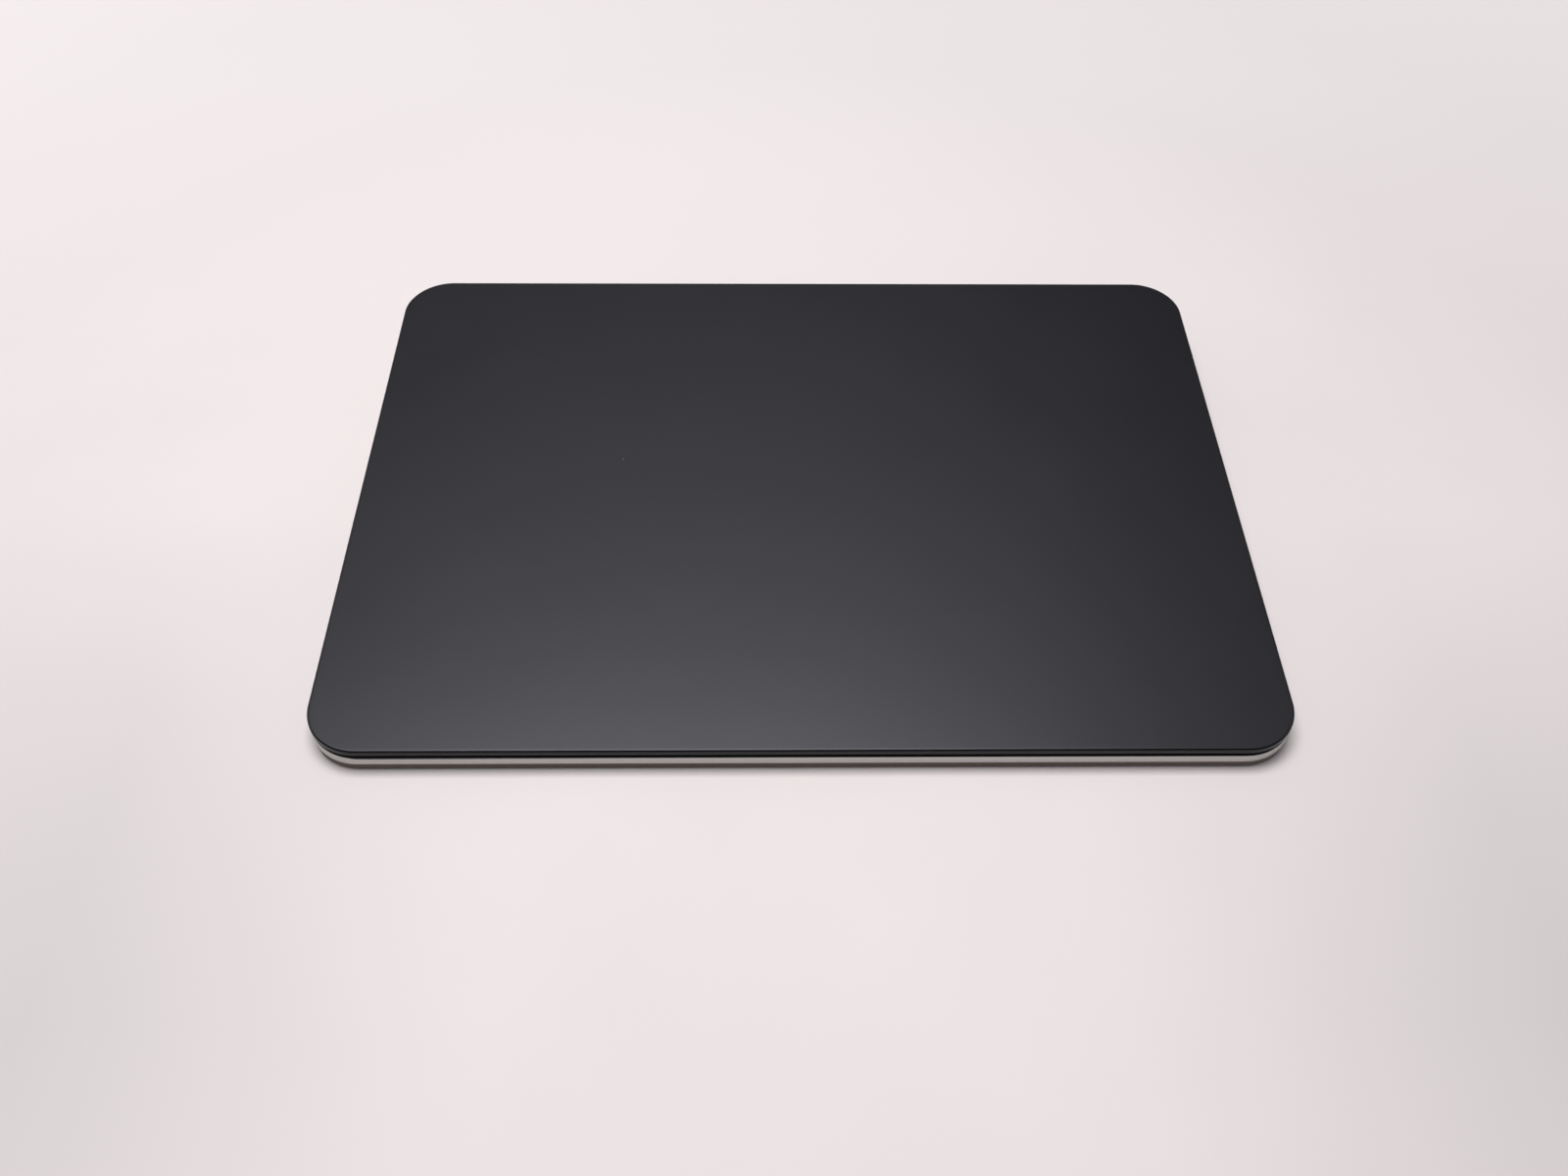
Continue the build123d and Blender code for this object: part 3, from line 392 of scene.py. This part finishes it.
rubber, wires, feed = finish("foot_rubber", {"Sheen Weight": 0.15})
moulded = noise(wires, 0.10 * mm)
feed("Base Color", mixed(wires, noise(wires, 2 * mm, 3.0), (0.42, 0.42, 0.43, 1), (0.50, 0.50, 0.51, 1)))
feed("Roughness", 0.62 + moulded * 0.15)
feed("Normal", raised(wires, moulded, 0.01 * mm))
for corner_name in corner_names:
    low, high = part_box("foot_" + corner_name)
    middle = (low + high) / 2
    foot_edge = rounded_profile(
        [
            (flat_radius, low.z),
            (foot_radius - sole_bevel, low.z),
            (foot_radius, low.z + sole_bevel),
            (foot_radius, high.z),
            (flat_radius, high.z),
        ],
        sole_bevel / 2,
    )
    foot_mesh = skin("rubber_foot_" + corner_name, [circle(middle, radius, z) for radius, z in foot_edge])
    fit(foot_mesh, "case", ["foot_" + corner_name], rubber, sharpest=60)


# Battery: a flat lithium cell in laminated black foil, whose seams are folded against its sides. Strips of
# adhesive hold it to the tray's floor. Its small board lies on a ledge at one end, where its lead starts.
def dress(material, *names):
    """Gives CAD nodes that keep their own shape a material."""
    for name in names:
        nodes[name].data.materials.clear()
        nodes[name].data.materials.append(material)


def stripes(wires, direction, pitch):
    """A wave from 0 to 1 and back in each pitch along that direction, for layers or lines. The texture's
    own phase grows by 20 radians in each unit."""
    sockets = {"Vector": spot(wires), "Scale": 2 * pi / (20 * pitch)}
    return wires.node("ShaderNodeTexWave", {"bands_direction": direction}, sockets, "Fac")


foil, wires, feed = finish("pouch_foil", {"Coat Weight": 0.2})
crease = noise(wires, 7 * mm, 5.0, 0.6)
feed("Base Color", mixed(wires, crease, (0.030, 0.030, 0.033, 1), (0.055, 0.055, 0.060, 1)))
feed("Roughness", 0.36 + crease * 0.15)
feed("Normal", raised(wires, crease, 0.12 * mm))
dress(foil, "battery_cell")
dress(film, "battery_adhesive")

# Board mask with tracks 0.3 mm wide in rows 1.1 mm apart, on a board's two faces and not on its edge
mask, wires, feed = finish("board_mask", {"IOR": 1.5})
rows = {
    "Vector": spot(wires),
    "Scale": 1 / (5 * mm),
    "Mortar Size": 0.03,
    "Brick Width": 1.7,
    "Row Height": 0.22,
}
line = wires.node("ShaderNodeTexBrick", {"offset": 0.37}, rows, "Fac")
flat = along_axis(wires, wires.node("ShaderNodeNewGeometry", {}, {}, "Normal"), "Z")
track = line * between(wires, flat * flat, 0.8, 0.9)
feed("Base Color", mixed(wires, track, (0.010, 0.016, 0.013, 1), (0.024, 0.034, 0.028, 1)))
feed("Roughness", 0.34 + noise(wires, 0.8 * mm) * 0.12)
feed("Normal", raised(wires, track, 0.03 * mm))
dress(mask, "battery_board")

polyimide, wires, feed = finish("amber_flex", {"IOR": 1.6})
trace_line = between(wires, stripes(wires, "X", 0.5 * mm), 0.55, 0.65)
feed("Base Color", mixed(wires, trace_line, (0.26, 0.11, 0.022, 1), (0.42, 0.20, 0.055, 1)))
feed("Roughness", 0.30 + noise(wires, 0.5 * mm) * 0.12)
feed("Normal", raised(wires, trace_line, 0.012 * mm))
dress(polyimide, "battery_lead")


# Main board: an L round two sides of the battery, screwed to standoffs in the tray. It carries the processor
# and the radio under steel cans, other chips and three nylon sockets. The antenna, an amber flex, is stuck to
# the rear wall.
def streaks(wires, along, across):
    """Noise drawn out along X, as a rolling mill leaves it, with streaks along by across in metres."""
    stretch = {"Vector": spot(wires), "Scale": (across / along, 1, 1)}
    return noise(wires, across, place=wires.node("ShaderNodeMapping", {}, stretch))


dress(mask, "main_board")
dress(polyimide, "antenna_flex")

epoxy, wires, feed = finish("chip_epoxy", {})
sand = noise(wires, 0.08 * mm, 1.0)
feed("Base Color", mixed(wires, sand, (0.012, 0.012, 0.012, 1), (0.024, 0.024, 0.024, 1)))
feed("Roughness", 0.5 + sand * 0.2)
feed("Normal", raised(wires, sand, 0.008 * mm))
dress(epoxy, "board_chips")

nylon, wires, feed = finish("socket_nylon", {"Roughness": 0.5})
swirl = noise(wires, 0.6 * mm, 3.0)
feed("Base Color", mixed(wires, swirl, (0.66, 0.62, 0.52, 1), (0.74, 0.70, 0.60, 1)))
feed("Normal", raised(wires, swirl, 0.01 * mm))
dress(nylon, "battery_socket", "sensor_socket", "actuator_socket")

steel, wires, feed = finish("rolled_steel", {"Metallic": 1.0})
rolled = streaks(wires, 6 * mm, 0.15 * mm)
feed("Base Color", mixed(wires, rolled, (0.48, 0.47, 0.46, 1), (0.58, 0.57, 0.55, 1)))
feed("Roughness", 0.26 + rolled * 0.16)
feed("Normal", raised(wires, rolled, 0.004 * mm))
dress(steel, "processor_shield", "radio_shield", "board_screws")

# Charging port: a drawn steel shell in a black plastic collar that fills the opening in the rear wall, with
# a moulded tongue inside that carries a row of gold contacts on both faces. A screwed steel saddle holds it.
low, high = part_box("port_shell")
port_middle = (low + high) / 2
half_length = (high.x - low.x) / 2
half_height = (high.z - low.z) / 2
mouth = high.y
back = low.y
shell_wall = 0.3 * mm
shell_round = 0.12 * mm
collar_gap = 0.05 * mm
collar_wall = 0.55 * mm
collar_round = 0.06 * mm
flange = 1.35 * mm
flange_thickness = 0.4 * mm
flange_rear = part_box("port_collar")[0].y
wall_inside = flange_rear + flange_thickness


def rounded_ring(half_across, half_along, radius, steps=24):
    """A rectangle's outline with round corners: point k of arc c is that corner's centre plus radius times
    the cosine and sine of the k-th part of its quarter turn. Gives both coordinates."""
    angle = np.repeat(np.arange(4) * pi / 2, steps + 1) + np.tile(np.linspace(0, pi / 2, steps + 1), 4)
    across = np.repeat([1, -1, -1, 1], steps + 1) * (half_across - radius) + radius * np.cos(angle)
    along = np.repeat([1, 1, -1, -1], steps + 1) * (half_along - radius) + radius * np.sin(angle)
    return across, along


def port_ring(grow, y, half_across=half_length, half_up=half_height, radius=half_height):
    """An upright rounded outline round the port's middle line, grown by grow, at depth position y."""
    x, z = rounded_ring(half_across + grow, half_up + grow, radius + grow, steps=12)
    return np.stack([port_middle.x + x, np.full(len(x), y), port_middle.z + z], 1)


plastic, wires, feed = finish("black_plastic", {})
spark = noise(wires, 0.07 * mm)
feed("Base Color", mixed(wires, spark, (0.016, 0.016, 0.017, 1), (0.028, 0.028, 0.030, 1)))
feed("Roughness", 0.40 + spark * 0.15)
feed("Normal", raised(wires, spark, 0.006 * mm))
collar_edge = rounded_profile(
    [
        (collar_gap, flange_rear),
        (collar_gap, mouth),
        (collar_wall, mouth),
        (collar_wall, wall_inside),
        (flange, wall_inside),
        (flange, flange_rear),
        (collar_gap + collar_wall, flange_rear),
    ],
    collar_round,
)
collar_mesh = skin("port_surround", [port_ring(grow, y) for grow, y in collar_edge], looped=True)
fit(collar_mesh, "case", ["port_collar"], plastic, sharpest=50)

drawn_steel, wires, feed = finish("drawn_steel", {"Metallic": 1.0})
pulled = noise(wires, 0.2 * mm, 3.0)
feed("Base Color", mixed(wires, pulled, (0.36, 0.36, 0.37, 1), (0.46, 0.46, 0.47, 1)))
feed("Roughness", 0.22 + pulled * 0.12)
feed("Normal", raised(wires, pulled, 0.004 * mm))
shell_edge = [(-shell_wall, back), (-shell_wall, mouth), (0, mouth), (0, back)]
shell_edge = rounded_profile(shell_edge, shell_round)
shell_mesh = skin("port_liner", [port_ring(grow, y) for grow, y in shell_edge], looped=True)
fit(shell_mesh, "case", ["port_shell"], drawn_steel, sharpest=50)

tongue_half_width = 3.35 * mm
tongue_half_thickness = 0.35 * mm
tongue_round = 0.12 * mm
tongue_length = 4.5 * mm
nose_length = 0.15 * mm
nose_inset = 0.10 * mm
tongue_low, tongue_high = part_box("port_tongue")
tongue_root = tongue_high.y - tongue_length


def tongue_ring(grow, y):
    """The tongue's own outline, grown by grow, at depth position y."""
    return port_ring(grow, y, tongue_half_width, tongue_half_thickness, tongue_round)


tongue_rings = [
    port_ring(-shell_wall, tongue_low.y),
    port_ring(-shell_wall, tongue_root),
    tongue_ring(0, tongue_root),
    tongue_ring(0, tongue_high.y - nose_length),
    tongue_ring(-nose_inset, tongue_high.y),
]
fit(skin("port_blade", tongue_rings), "case", ["port_tongue"], plastic, sharpest=40)

gilt, wires, feed = finish("gold_plate", {"Metallic": 1.0})
worn = noise(wires, 0.3 * mm)
feed("Base Color", mixed(wires, worn, (0.78, 0.55, 0.20, 1), (0.86, 0.66, 0.30, 1)))
feed("Roughness", 0.22 + worn * 0.1)
dress(gilt, "port_contacts")
dress(steel, "port_bracket", "port_screws")

# Power switch: a silver grey knob with three grip lines, in a slot of the rear wall, moulded in one with
# the flange behind the wall. A green film on the flange shows beside the knob when it is slid on. A guide
# holds it to the wall, and its fork drags the lever of the electrical switch on the main board.
knob_edge = 0.035 * mm
grey, wires, feed = finish("grey_plastic", {})
fine = noise(wires, 0.08 * mm)
feed("Base Color", mixed(wires, fine, (0.40, 0.395, 0.385, 1), (0.47, 0.465, 0.455, 1)))
feed("Roughness", 0.36 + fine * 0.12)
feed("Normal", raised(wires, fine, 0.006 * mm))
knob_mesh = copied("switch_slider", "switch_knob", flattest=0.2)
knob = fit(knob_mesh, "power_switch", ["switch_slider"], grey)
soften = knob.modifiers.new("soft_edges", "BEVEL")
soften.width = knob_edge
soften.segments = 2
soften.limit_method = "ANGLE"
soften.angle_limit = radians(30)
even_out(knob)

green, wires, feed = finish("green_film", {"Roughness": 0.3, "Coat Weight": 0.3})
feed("Base Color", mixed(wires, noise(wires, 0.5 * mm), (0.02, 0.46, 0.08, 1), (0.04, 0.56, 0.12, 1)))
dress(green, "switch_indicator")
dress(plastic, "switch_lever", "switch_guide")
dress(steel, "switch_housing")

# Haptic actuator: a core of stacked electrical steel with four upright poles, each wound with fine copper
# wire, on a steel bracket that is screwed to the tray. The poles pull a plate of the same steel, which is
# part of the touch plate above them.
stack, wires, feed = finish("core_laminations", {"Metallic": 1.0})
sheets = stripes(wires, "Z", 0.38 * mm)
feed("Base Color", mixed(wires, sheets, (0.20, 0.20, 0.21, 1), (0.36, 0.35, 0.35, 1)))
feed("Roughness", 0.42 + noise(wires, 0.4 * mm) * 0.15)
feed("Normal", raised(wires, sheets, 0.01 * mm))
dress(stack, "actuator_core", "attraction_plate")

wire_enamel, wires, feed = finish("copper_winding", {"Metallic": 1.0, "Coat Weight": 0.5})
# Painted shade: the colour darkens between the turns, in the grooves where shade falls; the ridges come from
# the bump
turns = stripes(wires, "Z", 0.19 * mm)
feed("Base Color", mixed(wires, turns, (0.32, 0.12, 0.04, 1), (0.62, 0.28, 0.11, 1)))
feed("Roughness", 0.25 + turns * 0.1)
feed("Normal", raised(wires, turns, 0.03 * mm))
dress(wire_enamel, "actuator_coil_1", "actuator_coil_2", "actuator_coil_3", "actuator_coil_4")
dress(steel, "actuator_bracket", "actuator_screws")
dress(polyimide, "actuator_flex")

# Flexures: four spring steel strips on which the touch plate floats. Each one's head lies on a gel pad on
# the tray's corner post, its foot is screwed to the plate and goes down with it, and the neck between them
# bends with the foil strain gauge glued below it.
flexure_head = 8.0 * mm
flexure_foot = 7.0 * mm
bend_steps = 9


def sliced(mesh, places):
    """The mesh cut by an upright plane across X at each of those places, so that it can bend there."""
    work = bmesh.new()
    work.from_mesh(mesh)
    for place in places:
        whole = work.verts[:] + work.edges[:] + work.faces[:]
        bmesh.ops.bisect_plane(work, geom=whole, plane_co=(place, 0, 0), plane_no=(1, 0, 0))
    work.to_mesh(mesh)
    work.free()
    return mesh


cloudy = {"Roughness": 0.22, "Subsurface Weight": 0.4, "Subsurface Scale": 0.5 * mm}
gel, wires, feed = finish("damping_gel", cloudy)
bubble = noise(wires, 0.9 * mm)
feed("Base Color", mixed(wires, bubble, (0.40, 0.46, 0.53, 1), (0.50, 0.56, 0.62, 1)))
feed("Normal", raised(wires, bubble, 0.01 * mm))
for corner_name in corner_names:
    dress(gel, "gel_pad_" + corner_name)
    low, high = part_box("flexure_" + corner_name)
    if low.x > 0:
        bend_start = high.x - flexure_head
        bend_end = low.x + flexure_foot
    else:
        bend_start = low.x + flexure_head
        bend_end = high.x - flexure_foot
    bends_at = np.linspace(bend_start, bend_end, bend_steps)
    for kind, slot, material in (("flexure_", "steel", steel), ("strain_gauge_", "flex", polyimide)):
        bent_mesh = sliced(copied(kind + corner_name, "bending_" + kind + corner_name), bends_at)
        bent = fit(bent_mesh, None, [kind + corner_name], material)
        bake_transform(bent)

# Touch plate's underside: the sensor board with its row of controllers and the connector for its flex, glued
# under the glass by a black bonding film. A frame stamped from steel stiffens it, and spacers and screws
# hold it to the flexures' feet.
dress(steel, "stiffener_frame", "flexure_spacers", "flexure_screws")
dress(mask, "sensor_board")
dress(epoxy, "touch_controllers")
dress(nylon, "sensor_connector")
dress(film, "bonding_sheet")

# Sensor flex: an amber ribbon that is plugged into the main board and into the sensor board, and folded once
# between them. The fold closes as the plate goes down.
low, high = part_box("sensor_flex")
fold_mesh = copied("sensor_flex", "folded_sensor_flex")
fold = fit(fold_mesh, "case", ["sensor_flex"], polyimide)
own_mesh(fold)

# Touch plate's glass: toughened, black, with a satin etched face. It is sawn to the tray's outline, and its
# edge is ground, with a narrow bevel round the face. It floats on the flexures, 0.9 mm above the tray's rim.
front_height = 4.9 * mm
rear_height = 10.9 * mm
corner_radius = 9.0 * mm
glass_thickness = 1.05 * mm
glass_bevel = 0.2 * mm
edge_round = 0.04 * mm
flat_from = 3 * glass_bevel
slope = (rear_height - front_height) / plate_depth
upright = sqrt(1 + slope * slope)


def plate_ring(inset, drop):
    """The plan outline drawn in by inset, on the level that lies drop under the touch surface."""
    x, y = rounded_ring(plate_width / 2 - inset, plate_depth / 2 - inset, corner_radius - inset)
    return np.stack([x, y, front_height + (y + plate_depth / 2) * slope - drop * upright], 1)


def off_face(middle, normal):
    """True on all but the touch surface itself."""
    return normal.z < 0.95


black_glass, wires, feed = finish("satin_black_glass", {"Specular Tint": (0.94, 0.93, 1.0, 1)})
grain = noise(wires, 0.12 * mm, 1.0)
wiped = noise(wires, 28 * mm, 3.0, 0.6)
cells = {"Vector": spot(wires), "Scale": 1 / (14 * mm)}
speck = between(wires, wires.node("ShaderNodeTexVoronoi", {}, cells, "Distance"), 0.011, 0.005)
ink = mixed(wires, wiped, (0.0026, 0.0025, 0.0040, 1), (0.0038, 0.0036, 0.0052, 1))
feed("Base Color", mixed(wires, speck * 0.5, ink, (0.45, 0.43, 0.40, 1)))
feed("Roughness", 0.28 + wiped * 0.09 + grain * 0.02)
feed("Normal", raised(wires, grain, 0.0006 * mm))
glass_edge = rounded_profile(
    [
        (flat_from, glass_thickness),
        (0, glass_thickness),
        (0, glass_bevel),
        (glass_bevel, 0),
        (flat_from, 0),
    ],
    edge_round,
)
glass_mesh = skin("touch_glass", [plate_ring(inset, drop) for inset, drop in glass_edge])
glass = fit(glass_mesh, "touch_plate", ["glass_plate"], black_glass, sharpest=50)

bluish = {"Specular IOR Level": 0.24, "Specular Tint": (0.84, 0.91, 1.0, 1)}
ground_glass, wires, feed = finish("ground_glass_edge", bluish)
clouded = noise(wires, 5 * mm)
feed("Base Color", mixed(wires, clouded, (0.0040, 0.0040, 0.0045, 1), (0.0060, 0.0060, 0.0066, 1)))
feed("Roughness", 0.30 + noise(wires, 0.2 * mm) * 0.08)
recolour(glass, ground_glass, off_face)
